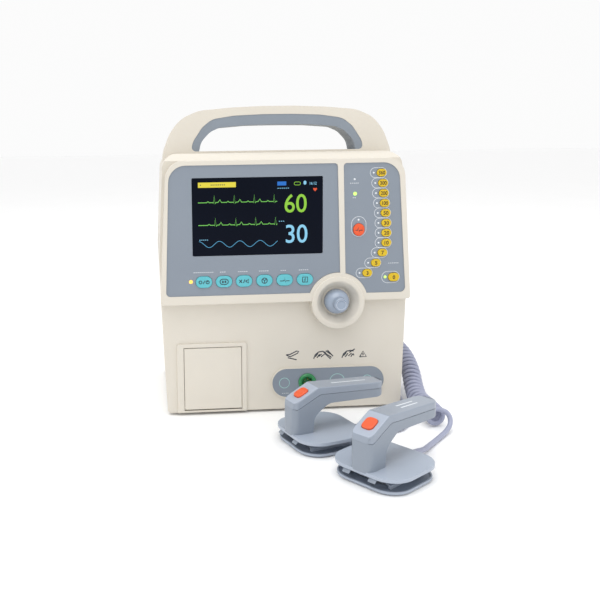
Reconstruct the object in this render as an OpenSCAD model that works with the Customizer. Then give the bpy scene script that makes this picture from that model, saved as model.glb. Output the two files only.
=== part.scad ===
// Portable defibrillator with a monitor, a strip printer and two hand paddles.
// The unit stands on z = 0, its front faces -Y, and its base centre is the origin.

/* [Unit] */
// Width of the unit at the lip under the keys
case_w = 300; // [296:1:304]
// Depth of the unit from bezel to back
case_d = 200; // [198:1:210]
// Height of the front bezel
bezel_h = 307; // [305:1:309]
// Height of the deck behind the bezel
deck_h = 315; // [312:1:318]
// Height of the top of the carrying handle
handle_h = 372; // [368:1:380]
// Depth of the carrying handle, front to back
handle_d = 39; // [34:1:44]
// How far the lower front stands behind the bezel
chin = 13; // [12:1:14]
// Thickness of the moulded walls
wall = 3; // [2.5:0.5:3.5]
// Height of the rubber feet
foot_h = 3; // [2:0.5:3]

/* [Front panel] */
// Width of the display glass
screen_w = 154; // [150:1:156]
// Height of the display glass
screen_h = 91; // [88:1:92]
// Outer radius of the raised ring round the knob
ring_r = 32; // [31:0.5:33]
// Length of the selection knob
knob_l = 25; // [22:1:27]
// Clearance round every key and button
gap = 0.35; // [0.3:0.05:0.5]
// How far a key moves when it is pressed
key_travel = 0.8; // [0.5:0.1:1]

/* [Printer] */
// Width of the printer door
door_w = 69.2; // [68:0.2:69.4]
// Radius of a full paper roll
roll_r = 20; // [15:0.5:21]
// Width of the paper roll
roll_w = 57; // [50:1:58]

/* [Paddles] */
// Length of the guard plate along the handle
guard_l = 78; // [76:1:80]
// Width of the guard plate
guard_w = 84; // [82:1:86]
// Width of the paddle's handle
grip_w = 25; // [23:1:26]
// How far a discharge button moves when it is pressed
fire_travel = 1.5; // [1:0.1:2]
// Turn of the sternum paddle on the table
sternum_turn = 18; // [16:1:20]
// Turn of the apex paddle on the table
apex_turn = 36; // [34:1:38]

/* [Cords] */
// Diameter of the paddle cords
cord_d = 5.5; // [5:0.5:6]
// Outer diameter of the curly stretch of each cord
coil_d = 24; // [22:1:24]

/* [Hidden] */
$fn = 48;

cream = "#dfdbd2";
panel_grey = "#949da9";
paddle_grey = "#a7afbb";
cord_lilac = "#9fa0b5";
cyan_key = "#6fc9d3";
yellow_key = "#e6be1c";
fire_orange = "#f26b44";
steel = "#b9bdc2";
board_green = "#2f6b4a";

front = -case_d / 2;
eps = 0.01;
lip_z = 138;
shell_d = 20;            // depth of the front case, where the rear case meets it
handle_y = 58;           // front face of the handle, behind the bezel
screen_x = -34;
screen_z = 241;
knob_x = 61.7;
knob_z = 135.6;
bowl_r = 25.7;           // mouth of the bowl that the knob stands in
bowl_floor = 11;
bowl_back = 15;
knob_foot = 9.9;
knob_r = 15;
tip_r = 8;
shaft_r = 3;
overlay_y = 1.2;         // front face of the printed panels, behind the bezel plane
overlay_t = 0.8;
key_top = -0.4;          // front face of a key
key_foot = 5;            // back of a key's stem
function_size = [19.3, 13.6];
energy_size = [11.6, 8.8];
zero_size = [13.5, 10];
sync_size = [13.4, 14.6];
function_x = [-98.5, -74.8, -51, -26.8, -2.7, 21.6];
function_z = 164.6;
energy_at = [[113.2, 289.5], [115.1, 277.3], [116.1, 265.3], [117.4, 253.5], [118.6, 241.8],
    [119.4, 229.8], [119.7, 218], [119.8, 206.2], [115.2, 194.4], [107.4, 182.3], [97, 170.4],
    [129.2, 164.5]];
sync_at = [86.4, 222.5];

door_x = -88.3;          // middle of the printer door
door_z0 = 6.8;
door_z1 = 82.3;
door_face = 10.5;
hinge_y = 13;
hinge_z = 10;
hinge_r = 1.5;
platen_y = 20;
platen_z = 72;
platen_r = 5;
roll_y = 48;
roll_z = 36;

port_z = 35.5;
socket_x = 26.8;
port_r = 11;
panel_x = 52.8;          // middle of the connector panel
panel_w = 140;
panel_h = 37;
socket_r = 6.5;          // bore that takes the lead's plug
socket_l = 8;

battery_x = 0;
battery_z = 40;
battery_w = 112;
battery_l = 100;
battery_h = 62;
inlet_x = 100;
inlet_z = 45;
screw_at = [[-134, 20], [134, 20], [-138, 290], [138, 290]];
foot_x = 105;
foot_y = 70;

plug_y = 120;
plug_z = 98;
plug_r = 14;
side_x = 150.2;          // side wall where the paddle plug goes in

guard_z0 = 13;
guard_z1 = 16.5;
relief_z = 9.2;
relief_end = 46;
sternum_at = [20, -184];
apex_at = [63, -273];
cap_tilt = 26.6;         // slope of the face that holds the discharge button

// ---- shapes that repeat ----

function unit_of(v) = v / norm(v);

// A corner b between a and c, cut by an arc of radius r
function round_corner(a, b, c, r, n = 6) =
    let (u = unit_of(a - b), w = unit_of(c - b), cosine = max(-1, min(1, u * w)))
    r <= 0 || cosine < -0.9999 ? [b] :
    let (half = acos(cosine) / 2,
         centre = b + unit_of(u + w) * r / sin(half),
         p = b + u * r / tan(half) - centre,
         q = b + w * r / tan(half) - centre,
         a0 = atan2(p[1], p[0]),
         turn = atan2(q[1], q[0]) - a0,
         sweep = turn > 180 ? turn - 360 : turn < -180 ? turn + 360 : turn)
    [for (i = [0:n]) centre + r * [cos(a0 + sweep * i / n), sin(a0 + sweep * i / n)]];

// An outline whose points are [x, y, radius]
function rounded(pts, n = 6) = let (last = len(pts))
    [for (i = [0:last - 1])
        let (a = pts[(i + last - 1) % last], b = pts[i], c = pts[(i + 1) % last])
        each round_corner([a[0], a[1]], [b[0], b[1]], [c[0], c[1]], b[2], n)];

// The right half of an outline, with its mirror image on the left
function both_sides(right) = concat(right,
    [for (i = [len(right) - 1:-1:0]) [-right[i][0], right[i][1], right[i][2]]]);

function rectangle(w, h, r) = both_sides([[w / 2, -h / 2, r], [w / 2, h / 2, r]]);

// An x-z outline made solid from y0 to y1, measured behind the bezel's front
module slab(y0, y1, x = 0, z = 0) {
    translate([x, front + y1, z]) rotate([90, 0, 0]) linear_extrude(y1 - y0) children();
}

module outline(pts, n = 6) {
    polygon(rounded(pts, n));
}

module pill(size) {
    r = min(size[0], size[1]) / 2;
    run = [max(0, size[0] / 2 - r), max(0, size[1] / 2 - r)];
    square([2 * run[0] + (run[1] > 0 ? 2 * r : 0), 2 * run[1] + (run[0] > 0 ? 2 * r : 0)], center = true);
    for (s = [-1, 1]) translate(s * run) circle(r);
}

// A cylinder along +Y from y0 to y1, measured behind the bezel's front
module rod_y(x, z, y0, y1, r, r2 = -1) {
    translate([x, front + y0, z]) rotate([-90, 0, 0]) cylinder(h = y1 - y0, r1 = r, r2 = r2 < 0 ? r : r2);
}

module rod_x(x0, x1, y, z, r) {
    translate([x0, front + y, z]) rotate([0, 90, 0]) cylinder(h = x1 - x0, r = r);
}

// A block between two corners, with y measured behind the bezel's front
module block(low, high) {
    translate([low[0], front + low[1], low[2]]) cube(high - low);
}

// ---- casings ----

function bezel_outline(i) = both_sides([[case_w / 2 - i, lip_z + i, 3],
    [case_w / 2 - 9.3 - i, bezel_h - i, 22 - i]]);
function cheek_outline(i) = both_sides([[case_w / 2 - 6.5 - i, foot_h + i, 4], [case_w / 2 - 4 - i, 70, 40],
    [case_w / 2 - 1.4 - i, 134, 0], [case_w / 2 - 1.4 - i, lip_z + 2, 0]]);
function body_outline(i) = both_sides([[case_w / 2 - 6.5 - i, foot_h + i, 4], [case_w / 2 - 2 - i, 120, 60],
    [case_w / 2 - i, 190, 60], [case_w / 2 - 6 - i, deck_h - i, 18 - i]]);
function arch_outline() = both_sides([[143.8, 300, 0], [142, 318, 40], [133.5, handle_h - 32, 50],
    [120.5, handle_h - 14.5, 40], [98, handle_h - 5, 40], [58, handle_h - 1.5, 80], [20, handle_h, 0]]);
function grip_outline(i) = both_sides([[108 - i, deck_h + 2.5 - i, 5], [105.5 - i, 329, 20],
    [94 - i, 346.5, 24], [81.5 - i, 356.5 - i, 24], [54 - i, 360.6 - i, 60], [18, 362 - i, 0]]);
function opening_outline() = both_sides([[99, deck_h - 3, 0], [95.3, 329, 20], [84, 341, 20],
    [71.6, 346.4, 20],
    [38, 349, 60], [8, 349.4, 0]]);
left_panel = [[-143.3, 148, 5], [-137.6, 301.5, 20], [60.8, 301.5, 4], [64.8, 148, 0]];
right_panel = [[70.9, 146.2, 0], [67.6, 301.5, 4], [134.4, 301.5, 20], [143.6, 146.2, 6]];

module panel_shape(pts, shrink = 0) {
    difference() {
        polygon(rounded(pts, 8));
        translate([knob_x, knob_z]) circle(ring_r + 4 - shrink);
    }
}

// Every hole that a key passes through
module key_holes(extra) {
    for (x = function_x) translate([x, function_z]) pill(function_size + [extra, extra]);
    for (i = [0:10]) translate(energy_at[i]) pill(energy_size + [extra, extra]);
    translate(energy_at[11]) pill(zero_size + [extra, extra]);
    translate(sync_at) pill(sync_size + [extra, extra]);
}

module screen_window(extra) {
    translate([screen_x, screen_z]) polygon(rounded(rectangle(screen_w + extra, screen_h + extra, 1.5)));
}

// The hole behind the printer door, less the two pins that the door turns on
module printer_opening() {
    difference() {
        slab(chin - 4, chin + wall + 1) translate([door_x, (door_z0 + door_z1) / 2 - 0.3])
            square([door_w + 0.8, door_z1 - door_z0 + 1.9], center = true);
        for (x = [door_x - door_w / 2 - 1, door_x + door_w / 2 - 3])
            rod_x(x, x + 4, hinge_y, hinge_z, hinge_r);
    }
}

module cheek_room() {
    outline(both_sides([[case_w / 2 - 10, foot_h + 2.5, 2], [case_w / 2 - 5, 134, 0],
        [case_w / 2 - 5, 150, 0]]));
}

module front_case() {
    color(cream) difference() {
        union() {
            difference() {
                union() {
                    slab(0, shell_d) outline(bezel_outline(0), 8);
                    slab(chin, shell_d) outline(cheek_outline(0));
                    slab(chin - 2.5, chin + 1) outline([[-131.6, foot_h, 1], [-47.3, foot_h, 1],
                        [-47.3, 88, 3], [-131.6, 88, 3]]);
                }
                slab(wall, shell_d + 1) outline(bezel_outline(wall), 8);
                slab(chin + wall, shell_d + 1) cheek_room();
            }
            rod_y(knob_x, knob_z, -1.5, bowl_back, ring_r);
            slab(chin - 2, chin + wall) translate([panel_x, port_z]) pill([panel_w, panel_h]);
            for (z = [24, 120]) for (x = [-139, 137]) rod_y(x, z, chin + 1, shell_d, 4);
        }
        rod_y(knob_x, knob_z, -1.5 - eps, bowl_floor, bowl_r, 17);
        rod_y(knob_x, knob_z, bowl_floor - 1, bowl_back + 1, shaft_r + 0.5);
        slab(-1, overlay_y + overlay_t) panel_shape(left_panel);
        slab(-1, overlay_y + overlay_t) panel_shape(right_panel);
        slab(-1, wall + 1) key_holes(2 * gap);
        slab(-1, wall + 1) screen_window(0.6);
        printer_opening();
        slab(chin - 3, chin + 1) translate([panel_x, port_z]) pill([panel_w - 2, panel_h - 2]);
        rod_y(socket_x, port_z, chin - 3, chin + wall + 1, port_r - 2.5);
    }
}

module rear_case() {
    color(cream) difference() {
        union() {
            difference() {
                slab(shell_d, case_d) outline(body_outline(0), 8);
                slab(shell_d - 1, case_d - wall) outline(body_outline(wall), 8);
            }
            // the rim that meets the narrower front case, and the solid edge of the deck
            slab(shell_d, shell_d + wall) difference() {
                outline(body_outline(0), 8);
                outline(bezel_outline(wall), 8);
                cheek_room();
            }
            slab(shell_d, shell_d + 14) intersection() {
                outline(body_outline(0), 8);
                translate([-200, bezel_h - 6]) square([400, 20]);
            }
            slab(handle_y, handle_y + handle_d) polygon(rounded(arch_outline(), 8));
            for (x = [-59, 57]) block([x - 50, 104, deck_h - 9], [x + 50, 192, deck_h - 1]);
            block([battery_x - 60, 92, foot_h + 1], [battery_x + 60, case_d - 1, 76]);
            for (p = screw_at) rod_y(p[0], p[1], case_d - 18, case_d - 1, 4.5);
            for (z = [24, 120]) for (x = [-139, 137]) rod_y(x, z, shell_d, case_d - 1, 4);
            rod_x(case_w / 2 - 8, case_w / 2, plug_y, plug_z, 16.5);
        }
        // sloping front edge of the deck
        translate([-case_w, front, 0]) rotate([90, 0, 90]) linear_extrude(2 * case_w)
            polygon([[shell_d - 1, bezel_h - 1], [shell_d + 12, deck_h + 1], [shell_d - 1, deck_h + 1]]);
        // the room under the arch that the grip lines
        slab(handle_y - 1, handle_y + handle_d + 1) intersection() {
            polygon(rounded(grip_outline(0), 8));
            translate([-200, deck_h]) square([400, 100]);
        }
        // the arch is a hollow moulding
        slab(handle_y + wall, handle_y + handle_d - wall) difference() {
            polygon(rounded([for (p = arch_outline()) [p[0] * 0.975, p[1] - wall, p[2]]], 8));
            polygon(rounded([for (p = grip_outline(0)) [p[0] * 1.028, p[1] + wall, p[2]]], 8));
            translate([-200, 0]) square([400, deck_h]);
            translate([-108, 0]) square([216, deck_h + 12]);
        }
        for (x = [-59, 57]) translate([x, front + 148, deck_h - 5]) linear_extrude(6)
            polygon(rounded(rectangle(94, 82, 24), 8));
        block([battery_x - 57.2, 95, battery_z - 32], [battery_x + 57.2, case_d + 1, battery_z + 32]);
        slab(case_d - wall - 1, case_d + 1) translate([inlet_x, inlet_z]) square([48, 28], center = true);
        for (p = screw_at) {
            rod_y(p[0], p[1], case_d - 19, case_d + 1, 1.7);
            rod_y(p[0], p[1], case_d - 3, case_d + 1, 3.4);
        }
        for (z = [24, 120]) for (x = [-139, 137]) rod_y(x, z, shell_d - 1, shell_d + 14, 1.5);
        for (i = [0:8]) slab(case_d - wall - 1, case_d + 1) translate([0, 170 + 9 * i]) pill([90, 3.5]);
        for (i = [-4:4]) translate([-case_w / 2 - 5, front + 120, 200 + 6 * i]) rotate([90, 0, 90])
            linear_extrude(10) pill([2 * sqrt(26 * 26 - 36 * i * i), 2.6]);
        rod_x(case_w / 2 - 12, case_w / 2 + 5, plug_y, plug_z, 9);
    }
}

module handle_grip() {
    color(panel_grey) slab(handle_y + 0.5, handle_y + handle_d - 0.5) intersection() {
        difference() {
            polygon(rounded(grip_outline(0), 8));
            polygon(rounded(opening_outline(), 8));
        }
        translate([-200, deck_h + 0.05]) square([400, 100]);
    }
}

module left_overlay() {
    color(panel_grey) slab(overlay_y, overlay_y + overlay_t) difference() {
        panel_shape(left_panel, -gap);
        key_holes(2 * gap);
        screen_window(0.6);
    }
}

module right_overlay() {
    color(panel_grey) slab(overlay_y, overlay_y + overlay_t) difference() {
        panel_shape(right_panel, -gap);
        key_holes(2 * gap);
    }
}

module connector_panel() {
    color(panel_grey) difference() {
        slab(chin - 1.5, chin + 1) translate([panel_x, port_z]) pill([panel_w - 2, panel_h - 2]);
        rod_y(socket_x, port_z, chin - 3, chin + 2, port_r + 0.05);
    }
}

module rubber_feet() {
    color("#3b3d40") for (x = [-foot_x, foot_x]) for (y = [-foot_y, foot_y])
        translate([x, y, 0]) cylinder(h = foot_h, r = 9);
}

module case_screws() {
    color(steel) for (p = screw_at) {
        rod_y(p[0], p[1], case_d - 17, case_d - 3, 1.6);
        rod_y(p[0], p[1], case_d - 3, case_d - 0.8, 3.2);
    }
}

// ---- keys and knob ----

module key(at, size, tint) {
    color(tint) {
        slab(key_top, 2.4) translate(at) pill(size);
        slab(2.4, key_foot) translate(at) pill(size - [3, 3]);
    }
}

module function_key(i) {
    key([function_x[i], function_z], function_size, cyan_key);
}

module energy_key(i) {
    key(energy_at[i], i == 11 ? zero_size : energy_size, yellow_key);
}

module sync_key() {
    key(sync_at, sync_size, fire_orange);
}

module encoder_shaft() {
    color(steel) rod_y(knob_x, knob_z, knob_foot - 17, 19, shaft_r);
    color(steel) rod_y(knob_x, knob_z, 16, 17.5, shaft_r + 2.2);
}

module selection_knob() {
    color("#8d9bb0") translate([knob_x, front + knob_foot, knob_z]) rotate([90, 0, 0]) rotate_extrude()
        polygon([[shaft_r + 0.06, 0], [knob_r, 0], [knob_r, 1.5], [knob_r - 1.2, 5], [tip_r + 3, 9.5],
            [tip_r + 0.8, 14], [tip_r, 19], [tip_r, knob_l - 1], [tip_r - 1, knob_l], [4.5, knob_l],
            [4.5, knob_l - 1.2], [0, knob_l - 1.2], [0, 17.2], [shaft_r + 0.06, 17.2]]);
}

// ---- strip printer ----

module printer_door() {
    color(cream) difference() {
        union() {
            slab(door_face, hinge_y) translate([door_x - door_w / 2, door_z0])
                square([door_w, door_z1 - door_z0]);
            rod_x(door_x - door_w / 2, door_x - door_w / 2 + 4.5, hinge_y, hinge_z, 2.5);
            rod_x(door_x + door_w / 2 - 4.5, door_x + door_w / 2, hinge_y, hinge_z, 2.5);
            for (s = [-1, 1]) block([door_x + s * 29 - 1.25, hinge_y - 0.5, platen_z - 5],
                [door_x + s * 29 + 1.25, platen_y + 4, platen_z + 6]);
            block([door_x - 24, hinge_y - 0.5, door_z1 - 3.2], [door_x + 24, hinge_y + 1.5, door_z1 - 1]);
        }
        for (x = [door_x - door_w / 2 - 0.7, door_x + door_w / 2 - 3.7])
            rod_x(x, x + 4.4, hinge_y, hinge_z, hinge_r + 0.06);
        rod_x(door_x - 40, door_x + 40, platen_y, platen_z, 2.06);
    }
}

module platen_roller() {
    color("#303236") {
        rod_x(door_x - 27.2, door_x + 27.2, platen_y, platen_z, platen_r);
        rod_x(door_x - 30.4, door_x + 30.4, platen_y, platen_z, 2);
    }
}

module printer_bucket() {
    color("#5d6168") {
        difference() {
            union() {
                block([door_x - 40, 17.5, 16], [door_x + 40, 19.5, 88]);
                block([door_x - 33, 17.5, 14], [door_x + 33, 72, 85]);
            }
            block([door_x - 31, 16, 16.5], [door_x + 31, 70, 83]);
        }
        block([door_x - 27, 27.5, 60], [door_x + 27, 33, 79]);
        block([door_x - 31, 30, 66], [door_x + 31, 32, 74]);
    }
    color("#8a8f98") block([door_x - 24, 25.4, 70], [door_x + 24, 27.5, 74]);
}

module paper_roll() {
    color("#f3f1ea") difference() {
        rod_x(door_x - roll_w / 2, door_x + roll_w / 2, roll_y, roll_z + 0.8, roll_r - 1.2);
        rod_x(door_x - roll_w / 2 - 1, door_x + roll_w / 2 + 1, roll_y, roll_z + 0.8, 6);
    }
}

// ---- connectors ----

module ecg_socket() {
    color("#1f8a4c") difference() {
        union() {
            rod_y(socket_x, port_z, chin - 2.5, chin + 1, port_r);
            rod_y(socket_x, port_z, chin + 1, chin + 14, port_r - 2.6);
        }
        rod_y(socket_x, port_z, chin - 3, chin - 2.5 + socket_l, socket_r);
    }
}

module mains_inlet() {
    color("#26282b") difference() {
        union() {
            slab(case_d - wall, case_d + 1) translate([inlet_x, inlet_z]) square([47, 27], center = true);
            slab(case_d - 26, case_d - wall) translate([inlet_x, inlet_z]) square([30, 23], center = true);
        }
        slab(case_d - 16, case_d + 3) translate([inlet_x, inlet_z])
            polygon([[-12, -8], [12, -8], [12, 4], [8, 8], [-8, 8], [-12, 4]]);
    }
    color(steel) for (p = [[-6.5, -2], [0, 2], [6.5, -2]])
        slab(case_d - 17, case_d - 10) translate([inlet_x + p[0], inlet_z + p[1]])
            square([2, 4], center = true);
}

module paddle_plug() {
    y = front + plug_y;
    color(paddle_grey) {
        translate([side_x - 14, y, plug_z]) rotate([0, 90, 0]) cylinder(h = 15, r = 8.6);
        translate([side_x, y, plug_z]) rotate([0, 90, 0]) cylinder(h = 22, r = plug_r);
        translate([side_x + 6, y - 14, plug_z - 21]) cube([13, 28, 16]);
    }
    color(cord_lilac) for (s = [-1, 1]) translate([163, y + 7 * s, 66])
        cylinder(h = 12, r1 = cord_d / 2 + 0.6, r2 = 5);
}

// ---- inside the unit ----

module display_module() {
    color("#14171c") slab(1.7, 3.2) translate([screen_x, screen_z])
        polygon(rounded(rectangle(screen_w, screen_h, 1.5)));
    color("#2b2f36") slab(3.2, 12) translate([screen_x, screen_z]) square([166, 101], center = true);
    color(steel) slab(12, 13.5) translate([screen_x, screen_z]) square([168, 103], center = true);
}

module keypad_plan() {
    translate([-118, 155]) square([190, 19]);
    translate([70, 155]) square([62, 138]);
}

module keypad_board() {
    color(board_green) slab(7.4, 9) difference() {
        keypad_plan();
        translate([knob_x, knob_z]) circle(ring_r + 2);
    }
    color("#222428") {
        for (x = function_x) rod_y(x, function_z, 5.9, 7.4, 3);
        for (p = energy_at) rod_y(p[0], p[1], 5.9, 7.4, 2.5);
        rod_y(sync_at[0], sync_at[1], 5.9, 7.4, 3);
    }
    color(board_green) slab(26, 27.6) translate([knob_x, knob_z + 4]) square([34, 30], center = true);
    color(steel) difference() {
        slab(18.4, 26) translate([knob_x, knob_z]) square([14, 14], center = true);
        rod_y(knob_x, knob_z, 18, 21, shaft_r + 0.1);
    }
}

module chassis() {
    color(steel) {
        difference() {
            block([-132, 34, 94], [132, 190, 95.5]);
            for (x = [-100, 100]) for (y = [60, 165]) translate([x, front + y, 90]) cylinder(h = 10, r = 2);
        }
        slab(34, 35.5) translate([-132, 95.5]) square([264, 60]);
        for (x = [-132, 130.5]) block([x, 35.5, 95.5], [x + 1.5, 190, 150]);
    }
}

module main_board() {
    color(board_green) slab(42, 43.6) translate([-122, 162]) square([160, 126]);
    color("#222428") {
        slab(43.6, 46.6) translate([-60, 220]) square([28, 28], center = true);
        slab(43.6, 46) translate([-10, 245]) square([18, 12], center = true);
        slab(43.6, 46) translate([-10, 225]) square([18, 12], center = true);
        slab(43.6, 52) translate([-100, 180]) square([30, 8], center = true);
    }
}

module charger_board() {
    color("#8a5a2b") block([24, 50, 101], [128, 180, 102.6]);
    color("#222428") {
        for (x = [30, 122]) for (y = [56, 174]) translate([x, front + y, 95.5]) cylinder(h = 5.5, r = 3);
        block([34, 66, 102.6], [74, 106, 136]);
        block([84, 60, 102.6], [122, 84, 126]);
    }
    color(steel) for (y = [120, 140, 160]) translate([104, front + y, 102.6]) cylinder(h = 22, r = 8);
}

module hv_capacitor() {
    color("#31507a") rod_x(-116, 2, 112, 130, 33);
    color("#c9b58a") for (y = [100, 124]) rod_x(2, 10, y, 130, 4);
}

module battery_pack() {
    color("#4b4f56") block([battery_x - battery_w / 2, 97, battery_z - battery_h / 2],
        [battery_x + battery_w / 2, case_d - wall, battery_z + battery_h / 2]);
    color("#4b4f56") difference() {
        block([battery_x - battery_w / 2, case_d - wall, battery_z - battery_h / 2],
            [battery_x + battery_w / 2, case_d, battery_z + battery_h / 2]);
        slab(case_d - 2, case_d + 1) translate([battery_x, battery_z]) pill([60, 18]);
    }
}

module speaker() {
    color("#2a2c30") {
        rod_x(-case_w / 2 + 5.8, -case_w / 2 + 9, 120, 200, 30);
        rod_x(-case_w / 2 + 9, -case_w / 2 + 24, 120, 200, 15);
    }
}

// ---- paddles ----

module at_paddle(at, turn) {
    translate([at[0], at[1], 0]) rotate([0, 0, turn]) children();
}

// A side outline (along the handle, up) made solid across the paddle
module side_slab(w) {
    translate([0, w / 2, 0]) rotate([90, 0, 0]) linear_extrude(w) children();
}

// The plan of the handle, round at its free end
module grip_plan(w) {
    polygon(rounded([[-40, -w / 2, 8.5], [77, -w / 2, w / 2 - 1], [77, w / 2, w / 2 - 1],
        [-40, w / 2, 8.5]], 8));
}

module plate(l, w, r, z0, z1) {
    translate([0, 0, z0]) linear_extrude(z1 - z0) polygon(rounded(rectangle(l, w, r), 10));
}

module paddle_shell() {
    color(paddle_grey) {
        plate(guard_l, guard_w, 24, guard_z0, guard_z1);
        plate(40, 40, 8, 5, guard_z0);
        difference() {
            intersection() {
                side_slab(grip_w) polygon(rounded([[-41, guard_z1 - 1, 0], [-39, 44.6, 0], [-34.5, 43.6, 0],
                    [-6.5, 56.9, 6], [78, 52.9, 0], [78, 46, 6], [66, 44.4, 8], [4, 46.2, 16], [-14, 34, 14],
                    [-15.5, guard_z1 - 1, 0]]));
                linear_extrude(80) grip_plan(grip_w);
            }
            intersection() {
                side_slab(grip_w - 5) polygon([[-36, 24], [-36, 41], [-31, 41], [-3, 54.5], [70, 60],
                    [70, 49.5], [4, 49.5], [-18, 35], [-19, 24]]);
                linear_extrude(80) grip_plan(grip_w - 5);
            }
        }
    }
}

module paddle_cover() {
    color(paddle_grey) difference() {
        intersection() {
            side_slab(grip_w) polygon(rounded([[-39.2, 44.7, 0], [-38, 50.4, 2], [-9, 65, 5], [78, 60.3, 3.2],
                [78, 53, 0], [-6.5, 57, 6], [-34.5, 43.7, 0]]));
            linear_extrude(80) grip_plan(grip_w);
        }
        button_frame() translate([0, 0, -12]) linear_extrude(20) button_plan(gap);
    }
}

// The middle of the sloping face, with +Z out of it
module button_frame() {
    translate([-23.5, 0, 57.7]) rotate([0, -cap_tilt, 0]) children();
}

module button_plan(extra) {
    polygon(rounded(rectangle(15 + 2 * extra, 13 + 2 * extra, 4.5), 8));
}

module paddle_button() {
    color(fire_orange) button_frame() {
        translate([0, 0, -4.5]) linear_extrude(6.3) button_plan(0);
    }
}

module child_electrode() {
    color(steel) plate(46, 46, 12, 2.9, 5);
}

module adult_electrode() {
    color("#c4c8cd") {
        plate(68, 74, 19, 0, 1.2);
        difference() {
            plate(74, 80, 22, 1.2, 3.6);
            plate(70, 76, 20, 2.5, 10);
            translate([0, -23.5, 2.5]) cube([60, 47, 10]);
        }
        for (s = [-1, 1]) translate([-26, s * 25 - 1.5, 2.5]) cube([52, 3, 3.7]);
        for (s = [-1, 1]) translate([-26, s > 0 ? 20.8 : -25.5, 5.3]) cube([52, 4.7, 1]);
    }
}

module cord_relief() {
    color(cord_lilac) translate([20, 0, relief_z]) rotate([0, 90, 0])
        cylinder(h = relief_end - 20, r1 = 3.7, r2 = cord_d / 2 + 0.3);
}

// ---- cords ----

// A point on a paddle's middle line, at u from its centre
function on_paddle(at, turn, u, z) = [at[0] + u * cos(turn), at[1] + u * sin(turn), z];

sternum_lead = [[163, 27, 66], [163, 29, 52], [162, 38, 38], [161, 54, 29], [160, 76, 27.6], [160, 98, 27.6],
    [160, 110, 25], [160, 114, 19], [160, 110, 13]];
sternum_coil_path = [[160, 109, 12.4], [160, 88, 12.4], [160, 66, 12.4], [160, 44, 12.4], [160, 22, 12.4],
    [160, -20, 12.4]];
sternum_tail = [on_paddle(sternum_at, sternum_turn, relief_end + 0.7, relief_z),
    on_paddle(sternum_at, sternum_turn, 54, 8), [84, -165.5, 4],
    [98, -168, 3], [112, -168, 3], [125, -157, 3], [137, -134, 3], [144, -108, 3], [147.8, -88, 3],
    [150.5, -66, 3], [154, -44, 5], [157, -30, 8], [158, -21, 12]];
apex_lead = [[163, 13, 66], [163, 13, 62], [163, 13, 58]];
apex_coil_path = [[163, 13, 58], [167, 3, 52], [172, -20, 42.5], [171, -46, 31], [166, -72, 19],
    [162, -98, 13], [162, -129, 12.6], [161, -161, 12.6]];
apex_tail = [on_paddle(apex_at, apex_turn, relief_end + 0.7, relief_z),
    on_paddle(apex_at, apex_turn, 56, 8), [120, -229, 5], [136, -210, 3],
    [152, -193, 3], [163.5, -181, 4.2], [171, -173, 8.5], [172.8, -167.5, 14.5], [170, -164, 19.4],
    [166, -161.4, 20.5]];

// A smooth line through the points: three steps on each span
function catmull(a, b, c, d, t) = 0.5 * ((2 * b) + (c - a) * t + (2 * a - 5 * b + 4 * c - d) * t * t
    + (3 * b - a - 3 * c + d) * t * t * t);
function smooth(p, steps) = let (n = len(p)) [for (i = [0:n - 2]) for (k = [0:steps - 1])
    catmull(p[max(0, i - 1)], p[i], p[i + 1], p[min(n - 1, i + 2)], k / steps), p[n - 1]];

// Two directions across the line at one of its points, kept level where they can be
function along(p, i) = unit_of(p[min(len(p) - 1, i + 1)] - p[max(0, i - 1)]);
function across(t) = abs(t[2]) > 0.9 ? unit_of(cross(t, [0, 1, 0])) : unit_of(cross(t, [0, 0, 1]));
function ring(p, t, r, sides) = let (u = across(t), w = cross(u, t))
    [for (k = [0:sides - 1]) p + r * (cos(360 * k / sides) * u + sin(360 * k / sides) * w)];

module swept(p, r, sides) {
    n = len(p);
    pts = [for (i = [0:n - 1]) each ring(p[i], along(p, i), r, sides)];
    faces = concat([[for (k = [0:sides - 1]) k]],
        [for (i = [0:n - 2]) for (k = [0:sides - 1])
            [i * sides + k, (i + 1) * sides + k, (i + 1) * sides + (k + 1) % sides,
                i * sides + (k + 1) % sides]],
        [[for (k = [sides - 1:-1:0]) (n - 1) * sides + k]]);
    polyhedron(pts, faces);
}

module sternum_cord() {
    color(cord_lilac) {
        swept(sternum_lead, cord_d / 2, 10);
        swept(sternum_tail, cord_d / 2, 10);
    }
}

module sternum_coil() {
    color(cord_lilac) swept(sternum_coil_path, coil_d / 2, 12);
}

module apex_cord() {
    color(cord_lilac) {
        swept(apex_lead, cord_d / 2, 10);
        swept(apex_tail, cord_d / 2, 10);
    }
}

module apex_coil() {
    color(cord_lilac) swept(apex_coil_path, coil_d / 2, 12);
}

front_case();
rear_case();
handle_grip();
left_overlay();
right_overlay();
connector_panel();
rubber_feet();
case_screws();
function_key(0);  // power_key
function_key(1);  // menu_key
function_key(2);  // silence_key
function_key(3);  // analysis_key
function_key(4);  // lead_key
function_key(5);  // record_key
energy_key(0);  // energy_key_360
energy_key(1);  // energy_key_300
energy_key(2);  // energy_key_200
energy_key(3);  // energy_key_100
energy_key(4);  // energy_key_50
energy_key(5);  // energy_key_30
energy_key(6);  // energy_key_20
energy_key(7);  // energy_key_10
energy_key(8);  // energy_key_7
energy_key(9);  // energy_key_5
energy_key(10);  // energy_key_3
energy_key(11);  // energy_key_0
sync_key();
encoder_shaft();
selection_knob();
printer_door();
platen_roller();
printer_bucket();
paper_roll();
ecg_socket();
display_module();
chassis();
keypad_board();
main_board();
charger_board();
hv_capacitor();
battery_pack();
speaker();
mains_inlet();
at_paddle(sternum_at, sternum_turn) paddle_shell();  // sternum_shell
at_paddle(sternum_at, sternum_turn) paddle_cover();  // sternum_cover
at_paddle(sternum_at, sternum_turn) paddle_button();  // sternum_button
at_paddle(sternum_at, sternum_turn) child_electrode();  // sternum_child_electrode
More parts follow.
